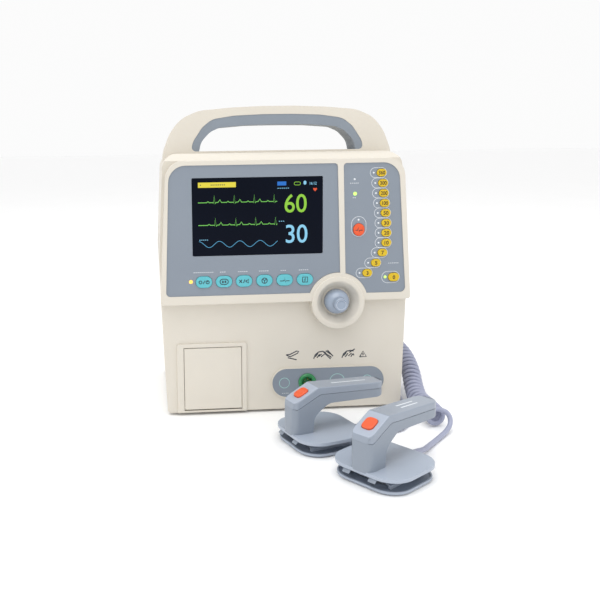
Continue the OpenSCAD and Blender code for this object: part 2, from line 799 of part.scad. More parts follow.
at_paddle(sternum_at, sternum_turn) adult_electrode();  // sternum_adult_electrode
at_paddle(sternum_at, sternum_turn) cord_relief();  // sternum_cord_relief
at_paddle(apex_at, apex_turn) paddle_shell();  // apex_shell
at_paddle(apex_at, apex_turn) paddle_cover();  // apex_cover
at_paddle(apex_at, apex_turn) paddle_button();  // apex_button
at_paddle(apex_at, apex_turn) child_electrode();  // apex_child_electrode
at_paddle(apex_at, apex_turn) adult_electrode();  // apex_adult_electrode
at_paddle(apex_at, apex_turn) cord_relief();  // apex_cord_relief
paddle_plug();
sternum_cord();
sternum_coil();
apex_cord();
apex_coil();
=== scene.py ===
"""A portable defibrillator with a monitor: a moulded case with a carrying handle, a screen and keys, a strip
printer, and two paddles on curly cords that stand on the table before it."""

import math

import bmesh
import bpy
from mathutils import Matrix, Vector


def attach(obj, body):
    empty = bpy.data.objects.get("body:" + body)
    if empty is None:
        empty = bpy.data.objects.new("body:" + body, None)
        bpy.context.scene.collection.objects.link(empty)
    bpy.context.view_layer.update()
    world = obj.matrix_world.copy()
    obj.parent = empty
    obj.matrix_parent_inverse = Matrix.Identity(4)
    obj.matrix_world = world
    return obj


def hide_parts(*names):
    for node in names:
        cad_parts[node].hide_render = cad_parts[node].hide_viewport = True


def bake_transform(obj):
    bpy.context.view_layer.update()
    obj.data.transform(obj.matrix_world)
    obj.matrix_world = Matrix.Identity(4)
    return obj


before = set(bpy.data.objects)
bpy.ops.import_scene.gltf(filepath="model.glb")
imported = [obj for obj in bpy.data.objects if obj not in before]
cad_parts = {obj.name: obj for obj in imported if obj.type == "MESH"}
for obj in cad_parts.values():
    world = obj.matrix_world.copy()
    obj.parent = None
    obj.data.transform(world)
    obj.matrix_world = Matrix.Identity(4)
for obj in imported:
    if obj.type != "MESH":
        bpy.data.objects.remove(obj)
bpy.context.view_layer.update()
bpy.ops.object.select_all(action="DESELECT")


# ---- Camera ----
# It stands a little to the left of the unit and above it, turned 4 degrees to the right and 6 degrees down,
# and it leans by less than a degree. The lens is shifted, because the unit stands in the left half of the
# frame.
yaw, pitch, lean = math.radians(4), math.radians(6), 0.01554
ahead = Vector((math.sin(yaw) * math.cos(pitch), math.cos(yaw) * math.cos(pitch), -math.sin(pitch)))
across = Vector((math.cos(yaw), -math.sin(yaw), 0))
down = ahead.cross(across)
camera_x = across * math.cos(lean) + down * math.sin(lean)
camera_y = across * math.sin(lean) - down * math.cos(lean)
bpy.ops.object.camera_add(location=(-0.160, -0.950, 0.319))
camera = bpy.context.object
camera.name = "front_camera"
camera.rotation_euler = Matrix((camera_x, camera_y, -ahead)).transposed().to_euler()
camera.data.lens = 44.12
camera.data.sensor_width = 36
camera.data.shift_x = 0.1643
camera.data.shift_y = -0.1209
bpy.context.scene.camera = camera


# ---- Paddle cords ----
# Each paddle hangs on a curly cord: a soft lilac-grey jacket of thermoplastic rubber, 5.5 mm thick, wound
# and heat-set into a coil 24 mm across. Both cords leave one plug on the unit's right side and run straight
# for a little at each end.
mm = 0.001
to_metres = Matrix.Diagonal((mm, mm, mm, 1))
cord_d = 0.0055
coil_mm = 9.4  # from the coil's middle to the middle of the jacket
ring_sides = 10
tightest_mm = 7.0
spacing_mm = 1.6


def linear(value):
    """An sRGB colour, such as "dfdbd2", as the linear numbers that a shader takes."""
    parts = [int(value[i : i + 2], 16) / 255 for i in (0, 2, 4)]
    return tuple(c / 12.92 if c <= 0.04045 else ((c + 0.055) / 1.055) ** 2.4 for c in parts) + (1.0,)


def add(material, kind, inputs=None, **settings):
    """One more node in a material, with its settings, and with a number or a link on each named input."""
    made = material.node_tree.nodes.new(kind)
    for name, value in settings.items():
        setattr(made, name, value)
    for name, value in (inputs or {}).items():
        if isinstance(value, bpy.types.NodeSocket):
            material.node_tree.links.new(value, made.inputs[name])
        else:
            made.inputs[name].default_value = value
    return made


def finish_of(name, **sockets):
    """A new material and its shader, with the shader's own sockets set."""
    material = bpy.data.materials.new(name)
    material.use_nodes = True
    shader = material.node_tree.nodes["Principled BSDF"]
    for label, value in sockets.items():
        shader.inputs[label.replace("_", " ")].default_value = value
    return material, shader


def grain(material, shader, low, high, mottle_mm, grain_mm, depth_mm, rough=(0.4, 0.5), stretch=(1, 1, 1)):
    """Colour between low and high in soft patches, a fine raised grain, and a sheen that varies with the
    patches."""
    place = add(material, "ShaderNodeTexCoord").outputs["Object"]
    run = add(material, "ShaderNodeMapping", {"Vector": place, "Scale": stretch}).outputs["Vector"]
    patches, pits = [add(material, "ShaderNodeTexNoise",
        {"Vector": run, "Scale": 1000 / size, "Detail": detail}).outputs["Fac"]
        for size, detail in ((mottle_mm, 4), (grain_mm, 2))]
    tint = add(material, "ShaderNodeMix", {"Factor": patches, "A": linear(low), "B": linear(high)},
        data_type="RGBA")
    colour = [s for s in tint.outputs if s.type == "RGBA"][0]
    gloss = add(material, "ShaderNodeMapRange", {"Value": patches, "From Min": 0.3, "From Max": 0.7,
        "To Min": rough[0], "To Max": rough[1]}).outputs["Result"]
    bumps = add(material, "ShaderNodeBump", {"Height": pits, "Strength": 0.5, "Distance": depth_mm / 1000})
    join = material.node_tree.links.new
    join(colour, shader.inputs["Base Color"])
    join(gloss, shader.inputs["Roughness"])
    join(bumps.outputs["Normal"], shader.inputs["Normal"])


def smooth_line(points, steps):
    """Points in millimetres along the soft curve through the given ones, with some steps on each span."""
    at = [Vector(p) for p in points]
    last = len(at) - 1
    line = []
    for i in range(last):
        a, b, c, d = at[max(0, i - 1)], at[i], at[i + 1], at[min(last, i + 2)]
        for k in range(steps):
            t = k / steps
            line.append(0.5 * (2 * b + (c - a) * t + (2 * a - 5 * b + 4 * c - d) * t * t
                + (3 * b - a - 3 * c + d) * t ** 3))
    return line + [at[last]]


def line_length(line):
    return sum((b - a).length for a, b in zip(line, line[1:]))


def curl(spine, turns, last_angle, ease_in, ease_out, opening):
    """The line wound round its spine, clockwise seen from the front.

    Its pitch grows by the opening towards the end, and it swells out from the spine where it starts and ends.
    """
    total = line_length(spine)
    steps = int(turns * 16)
    wound, walked, i = [], 0.0, 0
    for k in range(steps + 1):
        share = k / steps
        aim = total * (share * (1 - opening / 2) + share * share * opening / 2)
        while i < len(spine) - 2 and walked + (spine[i + 1] - spine[i]).length < aim:
            walked += (spine[i + 1] - spine[i]).length
            i += 1
        run = spine[i + 1] - spine[i]
        centre = spine[i] + run * ((aim - walked) / run.length)
        level = run.normalized().cross(Vector((0, 0, 1))).normalized() * -1
        if run.normalized().z < -0.9:
            level = Vector((1, 0, 0))
        up = level.cross(run.normalized()) * -1
        up = up if up.z > 0 or abs(up.z) < 0.3 else -up
        if level.x < 0:
            level = -level
        angle = last_angle + math.tau * turns * (1 - share)
        rise = share * turns / ease_in if ease_in else 1
        fall = (1 - share) * turns / ease_out if ease_out else 1
        swell = min(1, rise, fall)
        swell = swell * swell * (3 - 2 * swell)
        wound.append(centre + coil_mm * swell * (math.cos(angle) * level + math.sin(angle) * up))
    return wound


def even(line, spacing):
    """Points at even steps along the same line."""
    total = line_length(line)
    steps = round(total / spacing)
    kept, walked, i = [], 0.0, 0
    for k in range(steps + 1):
        aim = total * k / steps
        while i < len(line) - 2 and walked + (line[i + 1] - line[i]).length < aim:
            walked += (line[i + 1] - line[i]).length
            i += 1
        run = line[i + 1] - line[i]
        kept.append(line[i] + run * ((aim - walked) / max(run.length, 0.001)))
    return kept


def eased(line, spacing, tightest):
    """The line with each bend that is sharper than a cord takes drawn out to the tightest radius."""
    for _ in range(6):
        line = even(line, spacing)
        for _ in range(40):
            for k in range(1, len(line) - 1):
                if (line[k] - line[k - 1]).angle(line[k + 1] - line[k]) > spacing / tightest:
                    line[k] = (line[k - 1] + 2 * line[k] + line[k + 1]) / 4
    return even(line, spacing)


def jacket(name, line):
    """A round tube along the line, closed at both ends, with its rings turned as little as can be."""
    shape = bmesh.new()
    path = [p / 1000 for p in line]
    side = Vector((1, 0.2, 0.1))
    rings = []
    for i, p in enumerate(path):
        run = (path[min(len(path) - 1, i + 1)] - path[max(0, i - 1)]).normalized()
        side = (side - run * side.dot(run)).normalized()
        other = run.cross(side)
        rings.append([shape.verts.new(p + cord_d / 2 * (math.cos(a) * side + math.sin(a) * other))
            for a in (math.tau * k / ring_sides for k in range(ring_sides))])
    for one, two in zip(rings, rings[1:]):
        for k in range(ring_sides):
            n = (k + 1) % ring_sides
            shape.faces.new((one[k], one[n], two[n], two[k]))
    shape.faces.new(rings[0][::-1])
    shape.faces.new(rings[-1])
    mesh = bpy.data.meshes.new(name)
    shape.to_mesh(mesh)
    shape.free()
    mesh.shade_smooth()
    piece = bpy.data.objects.new(name, mesh)
    bpy.context.collection.objects.link(piece)
    return piece, path


# The jacket is extruded, so it is smooth along its length, with a soft sheen and faint patches.
cord_jacket, shader = finish_of("extruded_tpe_jacket", Specular_IOR_Level=0.5, Coat_Weight=0.25,
    Coat_Roughness=0.25)
grain(cord_jacket, shader, "8c90a8", "9fa4bb", 18, 0.9, 0.04, (0.34, 0.44))

apex_lead = smooth_line([(163, 13, 66), (163, 13, 64), (163, 13, 62), (163, 13, 59.5)], 2)
apex_spine = smooth_line([(163, 13, 58), (167, 3, 52), (172, -20, 42.5), (171, -46, 31), (166, -72, 19),
    (162, -98, 13), (162, -129, 12.6), (161, -161, 12.6)], 24)
apex_tail = smooth_line([(166, -161.4, 20.5), (170, -164, 19.4), (172.8, -167.5, 14.5), (171, -173, 8.5),
    (163.5, -181, 4.2), (152, -193, 3), (136, -210, 3), (120, -229, 5), (108.3, -240.1, 8),
    (100.5, -245.8, 9.2)], 5)
sternum_lead = smooth_line([(163, 27, 66), (163, 29, 52), (162, 38, 38), (161, 54, 29), (160, 76, 27.6),
    (160, 98, 27.6), (160, 110, 25), (160, 114, 19), (160, 110, 13)], 4)
sternum_spine = smooth_line([(160, y, 12.4) for y in (108, 88, 66, 44, 22, -20)], 24)
sternum_tail = smooth_line([(158, -21, 12), (157, -30, 8), (154, -44, 5), (150.5, -66, 3), (147.8, -88, 3),
    (144, -108, 3), (137, -134, 3), (125, -157, 3), (112, -168, 3), (98, -168, 3), (84, -165.5, 4),
    (71.4, -167.3, 8), (64.0, -169.7, 9.2)], 4)
apex_wound = curl(apex_spine, turns=25, last_angle=math.radians(58), ease_in=0.9, ease_out=0, opening=0.55)
sternum_wound = curl(sternum_spine, turns=22.5, last_angle=math.radians(10), ease_in=0.8, ease_out=0.8,
    opening=0.0)
apex_line = eased(apex_lead + apex_wound + apex_tail, spacing_mm, tightest_mm)
sternum_line = eased(sternum_lead + sternum_wound + sternum_tail, spacing_mm, tightest_mm)

for name, line, length, start, end in (
    ("apex", apex_line, 1.50, (0.152, -0.193, 0.003), (0.104, -0.242, 0.009)),
    ("sternum", sternum_line, 1.47, (0.110, -0.168, 0.003), (0.068, -0.168, 0.009))):
    cord, path = jacket(name + "_paddle_cord", line)
    cord.data.materials.append(cord_jacket)
    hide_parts(name + "_cord", name + "_coil")
    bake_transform(cord)


# ---- Front and rear mouldings ----
# The case is two deep shells of cream ABS, injection moulded with a fine spark-eroded texture and screwed
# together from the back. A rounded rim frames the two printed panels, and a raised ring round the knob runs
# into it.
cream_abs, shader = finish_of("moulded_cream_abs", Specular_IOR_Level=0.42, Subsurface_Weight=0.03)
shader.inputs["Subsurface Radius"].default_value = (0.004, 0.003, 0.002)
grain(cream_abs, shader, "d3cdc1", "d9d3c8", 60, 0.7, 0.05, (0.40, 0.48))


def pick(piece):
    """Selects one piece alone and makes it the active one."""
    bpy.ops.object.select_all(action="DESELECT")
    piece.select_set(True)
    bpy.context.view_layer.objects.active = piece


def coat(node, material):
    """Gives a solid that is drawn as it is one material."""
    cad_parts[node].data.materials.clear()
    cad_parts[node].data.materials.append(material)


def pick_sharp(piece, test, degrees=25):
    """In edit mode, only the edges that turn a corner and whose ends both pass the test are selected."""
    shape = bmesh.from_edit_mesh(piece.data)
    bpy.ops.mesh.select_all(action="DESELECT")
    for edge in shape.edges:
        if len(edge.link_faces) == 2 and edge.calc_face_angle(0) > math.radians(degrees):
            if all(test(end.co * 1000) for end in edge.verts):
                edge.select = True
    shape.select_flush_mode()
    bmesh.update_edit_mesh(piece.data)


def moulded_copy(node, body, material, rounds, last_mm=0.4, smooth=32, clamp=True):
    """A copy of a solid, merged, with whole flat faces and with its corners rounded as the mould leaves them.

    Each round is a test of a corner's ends, in millimetres, with its radius and its number of steps. What is
    still sharp is then softened by last_mm, and corners of less than smooth degrees are shaded as one.
    """
    piece = bpy.data.objects.new(node + "_moulding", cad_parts[node].data.copy())
    bpy.context.collection.objects.link(piece)
    pick(piece)
    bpy.ops.object.mode_set(mode="EDIT")
    bpy.ops.mesh.select_mode(type="EDGE")
    bpy.ops.mesh.select_all(action="SELECT")
    bpy.ops.mesh.remove_doubles(threshold=0.00001)
    bpy.ops.mesh.dissolve_limited(angle_limit=math.radians(0.6))
    for test, radius, steps in rounds:
        pick_sharp(piece, test)
        bpy.ops.mesh.bevel(offset=radius / 1000, segments=steps, affect="EDGES", clamp_overlap=clamp)
    bpy.ops.object.mode_set(mode="OBJECT")
    if last_mm:
        soften = piece.modifiers.new("soft_corners", "BEVEL")
        soften.width = last_mm / 1000
        soften.segments = 2
        soften.limit_method = "ANGLE"
        soften.angle_limit = math.radians(40)
        bpy.ops.object.modifier_apply(modifier=soften.name)
    bpy.ops.object.shade_smooth_by_angle(angle=math.radians(smooth))
    shading = piece.modifiers.new("even_shading", "WEIGHTED_NORMAL")
    shading.keep_sharp = True
    shading.weight = 100
    bpy.ops.object.modifier_apply(modifier=shading.name)
    piece.data.materials.clear()
    piece.data.materials.append(material)
    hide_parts(node)
    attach(piece, body)
    return piece


# Where the case's faces lie, in millimetres
bezel_y, lower_y, back_y, deck_z = -100, -89.5, 100, 315
lip_z, bezel_tall, half_wide, narrowing = 138, 169, 150, 9.3
arch_front_y, arch_back_y = -42, -3
knob_x, knob_z = 61.7, 135.6


def from_knob(p):
    return math.hypot(p.x - knob_x, p.z - knob_z)


def on_bezel_rim(p):
    side = half_wide - narrowing * (p.z - lip_z) / bezel_tall
    at_rim = abs(p.x) > side - 1.5 or p.z > 305.5 or p.z < lip_z + 1
    return abs(p.y - bezel_y) < 0.2 and at_rim and p.z > lip_z - 1 and from_knob(p) > 34


def on_knob_ring(p):
    return p.y < bezel_y - 1 and from_knob(p) > 20


def on_panel_edge(p):
    return abs(p.y - bezel_y) < 0.2 and -144 < p.x < 144 and 141 < p.z < 303


def on_printer_frame(p):
    return abs(p.y - lower_y) < 0.2 and p.z < 92 and p.x < -40


front_moulding = moulded_copy("front_case", "unit", cream_abs,
    [(on_bezel_rim, 4.8, 6), (on_knob_ring, 1.6, 4), (on_panel_edge, 0.8, 3), (on_printer_frame, 2.3, 5)],
    0.35)


def on_arch(p):
    on_face = abs(p.y - arch_front_y) < 0.3 or abs(p.y - arch_back_y) < 0.3
    return p.z > deck_z + 2 and on_face and abs(p.x) < 145


def on_case_back(p):
    return abs(p.y - back_y) < 0.2 and (abs(p.x) > 140 or p.z > 306 or p.z < 6)


def on_deck_wells(p):
    return abs(p.z - deck_z) < 0.3 and abs(p.x) < 112 and p.y > 0


rear_moulding = moulded_copy("rear_case", "unit", cream_abs,
    [(on_arch, 4.0, 5), (on_case_back, 5.0, 5), (on_deck_wells, 1.2, 3)], 0.5)


# ---- Grip of the carrying handle ----
# A grey soft-touch liner is pressed into the underside of the arch. Its rubber-like skin is matte, with
# soft patches that are a little darker.
soft_grip, shader = finish_of("soft_touch_grip", Specular_IOR_Level=0.4, Sheen_Weight=0.06)
grain(soft_grip, shader, "7f8893", "8a939e", 40, 0.9, 0.06, (0.45, 0.56))
grip_liner = moulded_copy("handle_grip", "unit", soft_grip, [(lambda p: p.z > 318, 1.3, 3)], 0)


# ---- Printed panels ----
# Two polycarbonate overlays with a fine matte face, screen printed from behind in slate grey, are stuck
# 1.2 mm below the rim. Thin light lines frame the keys, and rows of short strokes stand in for captions.
panel_film, shader = finish_of("printed_polycarbonate_film", Specular_IOR_Level=0.45, Coat_Weight=0.15,
    Coat_Roughness=0.35)
grain(panel_film, shader, "7f8894", "858e99", 90, 0.45, 0.02, (0.38, 0.46))
light_ink, shader = finish_of("light_screen_ink")
grain(light_ink, shader, "d3d9df", "e2e6ea", 6, 0.6, 0.01)
dark_ink, shader = finish_of("dark_screen_ink")
grain(dark_ink, shader, "1f2630", "2c3440", 6, 0.6, 0.01)
coat("left_overlay", panel_film)
coat("right_overlay", panel_film)
panel_y, connector_y, lower_print_y, case_back_y = -98.8, -88.52, -87.0, 99.2  # the printed faces


def on_front(piece, x, y, z, body, material):
    """Turns a flat drawing, made in millimetres, to face the front, with its middle at x, z and its back at
    y."""
    pick(piece)
    piece.data.transform(Matrix(((mm, 0, 0, x / 1000), (0, 0, -mm, y / 1000), (0, mm, 0, z / 1000),
        (0, 0, 0, 1))))
    piece.matrix_world = Matrix()
    piece.data.materials.clear()
    piece.data.materials.append(material)
    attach(piece, body)
    return piece


def ink_lines(name, strokes, width, thick=0.12, closed=False):
    """Drawn lines in millimetres: each stroke is a row of points, and all are as wide as the pen."""
    pen = bpy.data.curves.new(name, "CURVE")
    pen.dimensions = "3D"
    pen.bevel_depth = width / 2
    pen.bevel_resolution = 1
    for stroke in strokes:
        line = pen.splines.new("POLY")
        line.points.add(len(stroke) - 1)
        line.use_cyclic_u = closed
        for point, (x, y) in zip(line.points, stroke):
            point.co = (x, y, 0, 1)
    piece = bpy.data.objects.new(name, pen)
    bpy.context.collection.objects.link(piece)
    pick(piece)
    bpy.ops.object.convert(target="MESH")
    piece = bpy.context.object
    piece.data.transform(Matrix.Diagonal((1, 1, 2 * thick / width, 1)))
    return piece


def digits(name, words, tall, narrow=1.0, thick=0.1, bold=0.0):
    """Plain numerals of one height, in millimetres, centred on nothing."""
    bpy.ops.object.select_all(action="DESELECT")
    bpy.ops.object.text_add(location=(0, 0, 0))
    piece = bpy.context.object
    piece.name = name
    piece.data.body = words
    piece.data.resolution_u = 4
    piece.data.offset = bold
    bpy.ops.object.convert(target="MESH")
    piece = bpy.context.object
    low = Vector([min(v.co[i] for v in piece.data.vertices) for i in range(3)])
    high = Vector([max(v.co[i] for v in piece.data.vertices) for i in range(3)])
    size = tall / (high.y - low.y)
    piece.data.transform(Matrix.Diagonal((size * narrow, size, 1, 1)) @ Matrix.Translation(-(low + high) / 2))
    wall = piece.modifiers.new("ink_body", "SOLIDIFY")
    wall.thickness = thick
    wall.offset = 1
    bpy.ops.object.modifier_apply(modifier=wall.name)
    return piece


def pill_line(wide, tall, x=0.0, y=0.0, steps=8):
    """The points round a pill of that size, centred at x, y."""
    radius = min(wide, tall) / 2
    run = (wide / 2 - radius, tall / 2 - radius)
    points = []
    for start in range(4):
        for k in range(steps + 1):
            a = math.radians(90 * start + 90 * k / steps)
            points.append((x + math.copysign(run[0], math.cos(a + 1e-6)) + radius * math.cos(a),
                y + math.copysign(run[1], math.sin(a + 1e-6)) + radius * math.sin(a)))
    return points


energy_at = [(360, 113.2, 289.5), (300, 115.1, 277.3), (200, 116.1, 265.3), (100, 117.4, 253.5),
    (50, 118.6, 241.8), (30, 119.4, 229.8), (20, 119.7, 218), (10, 119.8, 206.2), (7, 115.2, 194.4),
    (5, 107.4, 182.3), (3, 97, 170.4)]
zero_at = (0, 129.2, 164.5)
function_x, function_z = [-98.5, -74.8, -51, -26.8, -2.7, 21.6], 164.6
sync_x, sync_z = 86.4, 222.5
frames = [pill_line(19.8, 11.6, x - 3.6, z) for _, x, z in energy_at]
frames.append(pill_line(21.8, 13.9, 125.6, 164.5))
frames.append(pill_line(17.6, 23.6, sync_x, 226.2))
on_front(ink_lines("key_frames", frames, 0.55, closed=True), 0, panel_y, 0, "unit", light_ink)


def ticks(x, z, wide, step, dash):
    """A row of short strokes, centred on x, that stands in for a caption."""
    left = x - wide / 2
    return [[(left + step * k, z), (left + step * k + dash, z)] for k in range(int(wide / step))]


captions = []
for x, wide in zip(function_x, (24, 9, 14, 12.5, 9.5, 14)):
    captions += ticks(x, 176.0, wide, 2.4, 1.5)
for x, z, wide in ((81.1, 277.6, 11), (81.7, 260.4, 5.5), (130, 181.4, 15)):
    captions += ticks(x, z, wide, 2.2, 1.4)
on_front(ink_lines("caption_ticks", captions, 0.8), 0, panel_y, 0, "unit", light_ink)


# ---- Signal lamps ----
# Small lenses show through the panels: one beside each energy key, one over the orange key, and others for
# power, charge and battery. Each lens is a low dome of clear resin over its light.
def lamp_finish(name, colour, glow):
    """Clear resin of one colour, with a glow of its own where the lamp is lit."""
    material, resin = finish_of(name, Coat_Weight=0.6, Emission_Strength=glow)
    resin.inputs["Emission Color"].default_value = linear(colour)
    grain(material, resin, colour, colour, 2, 0.5, 0.01, (0.2, 0.3))
    return material


lens_clear = lamp_finish("clear_resin_lens", "dfe4e8", 0.0)
lens_green = lamp_finish("green_lit_lens", "a9e060", 1.2)
lens_amber = lamp_finish("amber_lit_lens", "ffb347", 1.4)


def lens(name, x, z, radius, material):
    """A dome cut from a sphere a little below its middle and flattened, with its foot on the panel."""
    bpy.ops.object.select_all(action="DESELECT")
    bpy.ops.mesh.primitive_uv_sphere_add(segments=24, ring_count=12, radius=radius, location=(0, 0, 0))
    dome = bpy.context.object
    dome.name = name
    bpy.ops.object.mode_set(mode="EDIT")
    bpy.ops.mesh.bisect(plane_co=(0, 0, -0.1 * radius), plane_no=(0, 0, 1), use_fill=True, clear_inner=True)
    bpy.ops.object.mode_set(mode="OBJECT")
    dome.data.transform(Matrix.Diagonal((1, 1, 0.55, 1)))
    bpy.ops.object.shade_smooth_by_angle(angle=math.radians(40))
    on_front(dome, x, panel_y, z, "unit", material)


for energy, x, z in energy_at:
    lens("lamp_%d" % energy, x - 9.3, z, 1.15, lens_clear)
for name, x, z, radius, material in (("lamp_0", 118.9, 164.8, 1.7, lens_green),
    ("lamp_sync", 86.1, 234.2, 1.2, lens_clear), ("lamp_power", -113.8, 165.2, 2.2, lens_amber),
    ("lamp_charge", 81.1, 282.2, 1.2, lens_clear), ("lamp_battery", 81.7, 265.2, 2.2, lens_green)):
    lens(name, x, z, radius, material)


# ---- Screen ----
# A colour display lies under a hard-coated glass. Its picture is lit from behind: two heart traces, one
# breathing wave, two large readings and a few marks, each drawn by the light of its own colour.
display_glass, shader = finish_of("hard_coated_glass", Specular_IOR_Level=0.06)
grain(display_glass, shader, "070b16", "0a101e", 60, 1.2, 0.002, (0.10, 0.16))
coat("display_module", display_glass)


def light_of(name, colour, strength):
    """One colour of the lit picture: a nearly black face that gives off the colour."""
    material, backlight = finish_of(name, Specular_IOR_Level=0.1, Emission_Strength=strength)
    backlight.inputs["Emission Color"].default_value = linear(colour)
    grain(material, backlight, "05070b", "080b10", 4, 0.5, 0.002)
    return material


lime_light = light_of("lime_backlight", "93cf45", 1.0)
trace_light = light_of("green_backlight", "74c25a", 1.1)
cyan_light = light_of("cyan_backlight", "8fd0f0", 1.0)
wave_light = light_of("blue_backlight", "5ba3cb", 1.1)
amber_light = light_of("yellow_backlight", "e8d84a", 1.0)
blue_light = light_of("deep_blue_backlight", "2f74cc", 1.0)
red_light = light_of("red_backlight", "e85a38", 1.0)
screen_left, screen_top, screen_y = -111.0, 286.5, -98.32


def heart_trace(peaks, base, start, end):
    """One beat is a low rise, a sharp spike with a dip on each side, and a rounded recovery."""
    line = [(start, -base)]
    for peak in peaks:
        for du, dv in ((-9, 0), (-7.4, 1.3), (-5.8, 0), (-1.6, 0), (-1.0, -0.8), (0, 8.4), (0.9, -1.4),
            (1.8, 0), (4.6, 0.3), (6.6, 3.3), (8.4, 0)):
            if start < peak + du < end:
                line.append((peak + du, dv - base))
    return line + [(end, -base)]


for name, strokes, pen, material in (
    ("heart_trace_one", [heart_trace((26, 49.5, 73, 96.5), 28.5, 7, 100)], 0.95, trace_light),
    ("heart_trace_two", [heart_trace((27, 51, 74.5, 98), 55.0, 7, 100)], 0.95, trace_light),
    ("breathing_wave", [[(u, -77.6 + 3.6 * math.cos((u - 7.5) / 24 * math.tau)) for u in
        [7.5 + 0.8 * k for k in range(117)]]], 0.6, wave_light),
    ("battery_mark", [pill_line(7.4, 3.6, 124, -8)], 0.6, lime_light),
    ("small_ticks", [[(100.5 + 2.4 * k, -13.2), (101.9 + 2.4 * k, -13.2)] for k in range(6)]
        + [[(8 + 2.2 * k, -72.2), (9.3 + 2.2 * k, -72.2)] for k in range(5)]
        + [[(102 + 2.4 * k, -52), (103.4 + 2.4 * k, -52)] for k in range(3)], 0.8, cyan_light)):
    on_front(ink_lines(name, strokes, pen, 0.05), screen_left, screen_y, screen_top, "unit", material)


def light_block(name, outline, material):
    """A flat patch of light with any outline, 0.08 mm thick."""
    shape = bmesh.new()
    face = shape.faces.new([shape.verts.new((x, y, 0)) for x, y in outline])
    bmesh.ops.recalc_face_normals(shape, faces=[face])
    for v in bmesh.ops.extrude_face_region(shape, geom=[face])["geom"]:
        if isinstance(v, bmesh.types.BMVert):
            v.co.z += 0.08
    bmesh.ops.recalc_face_normals(shape, faces=shape.faces)
    mesh = bpy.data.meshes.new(name)
    shape.to_mesh(mesh)
    shape.free()
    piece = bpy.data.objects.new(name, mesh)
    bpy.context.collection.objects.link(piece)
    on_front(piece, screen_left, screen_y, screen_top, "unit", material)


light_block("alarm_bar", [(7.2, -11), (51.5, -11), (51.5, -5), (7.2, -5)], amber_light)
alarm_dashes = [[(u, -8), (u + 1.3, -8)] for u in (9.5, 22, 24.2, 26.4, 28.6, 30.8, 33, 35.2, 37.4)]
on_front(ink_lines("alarm_ticks", alarm_dashes, 1.1, 0.04), screen_left, screen_y - 0.085, screen_top, "unit",
    dark_ink)
light_block("mode_box", [(100.3, -10), (110.8, -10), (110.8, -5.4), (100.3, -5.4)], blue_light)
light_block("white_mark", pill_line(3.4, 4.6, 133, -7.2), cyan_light)
light_block("heart_mark", [(145, -17.6), (147.2, -15.2), (147.2, -14), (146.1, -13.4), (145, -14.2),
    (143.9, -13.4), (142.8, -14), (142.8, -15.2)], red_light)
for name, words, u, v, tall, narrow, material in (
    ("heart_rate", "60", 121.9, 31.2, 21.8, 0.92, lime_light),
    ("breath_rate", "30", 123.0, 67.2, 21.8, 0.92, cyan_light),
    ("clock", "16:12", 142.8, 8.1, 3.2, 0.9, cyan_light)):
    on_front(digits(name, words, tall, narrow, 0.1, 0.006), screen_left + u, screen_y, screen_top - v, "unit",
        material)


# ---- Keys ----
# Every key is a cap of moulded silicone rubber, dyed through: cyan for the monitor's functions, yellow for
# the energies and orange for the shock on the next beat. Each stands 1.6 mm proud of the printed face, with
# its rim rounded and its marks printed.
def silicone(colour, depth, low, high):
    """Rubber of one colour, through which light spreads by a depth of its own for red, green and blue."""
    material, rubber = finish_of(colour + "_silicone_rubber", Specular_IOR_Level=0.45, Subsurface_Weight=0.12)
    rubber.inputs["Subsurface Radius"].default_value = depth
    grain(material, rubber, low, high, 5, 0.35, 0.02, (0.32, 0.42))
    return material


cyan_silicone = silicone("cyan", (0.0008, 0.0012, 0.0014), "55b2bd", "64bdc7")
yellow_silicone = silicone("yellow", (0.0014, 0.0010, 0.0003), "cfac0a", "d8b818")
orange_silicone = silicone("orange", (0.0016, 0.0006, 0.0003), "dd5024", "e65f30")
key_face = -100.4
key_print = key_face - 0.02


def key_cap(node, body, material):
    """The cap's front rim is rounded 0.8 mm, so it catches a line of light all round."""
    cap = moulded_copy(node, body, material, [(lambda p: p.y < key_face + 0.1, 0.8, 4)], 0, 50)


def arc(radius, first, last, x=0.0, y=0.0, steps=12):
    """Points along part of a circle, between two angles in degrees."""
    return [(x + radius * math.cos(math.radians(first + (last - first) * k / steps)),
        y + radius * math.sin(math.radians(first + (last - first) * k / steps))) for k in range(steps + 1)]


function_marks = {
    "power": [arc(1.7, 0, 360, -4.2), [(-1.2, -2), (1.2, 2)], arc(1.9, 110, 430, 4.2),
        [(4.2, 0.2), (4.2, 2.4)]],
    "menu": [pill_line(9.6, 6.2) + [(4.8, 0)]]
        + [[(u, v), (u + 1.8, v)] for v in (0, 0.9, -0.9) for u in (-2.4, 0.6)],
    "silence": [[(-5.8, 1.8), (-2.6, -1.8)], [(-5.8, -1.8), (-2.6, 1.8)], [(-1.0, -2), (0.8, 2)],
        [(2, -0.8), (2, 0.8), (3.2, 0.8), (5.2, 2.2), (5.2, -2.2), (3.2, -0.8), (2, -0.8)]],
    "analysis": [arc(3.2, 0, 360), [(0, -2.8), (0, 0), (-2, 1.8)], [(0, 0), (2, 1.8)]],
    "lead": [[(-5.6, -0.9), (-1.6, -0.9), (-0.8, 0.2), (0, -0.9), (0, 3.2), (0.9, -2.4), (1.5, -0.9),
        (5.6, -0.9)]],
    "record": [[(-3, -3), (-3, 3), (3, 3), (3, -3), (-3, -3)], [(0.8, 2), (-0.8, 0), (0.8, 0), (-0.8, -2)]]}
for (name, strokes), x in zip(function_marks.items(), function_x):
    key_cap(name + "_key", name + "_cap", cyan_silicone)
    on_front(ink_lines(name + "_mark", strokes, 1.0, 0.08), x, key_print, function_z, name + "_cap", dark_ink)
brown_ink, shader = finish_of("brown_screen_ink")
grain(brown_ink, shader, "3a2605", "4a3209", 6, 0.6, 0.01)
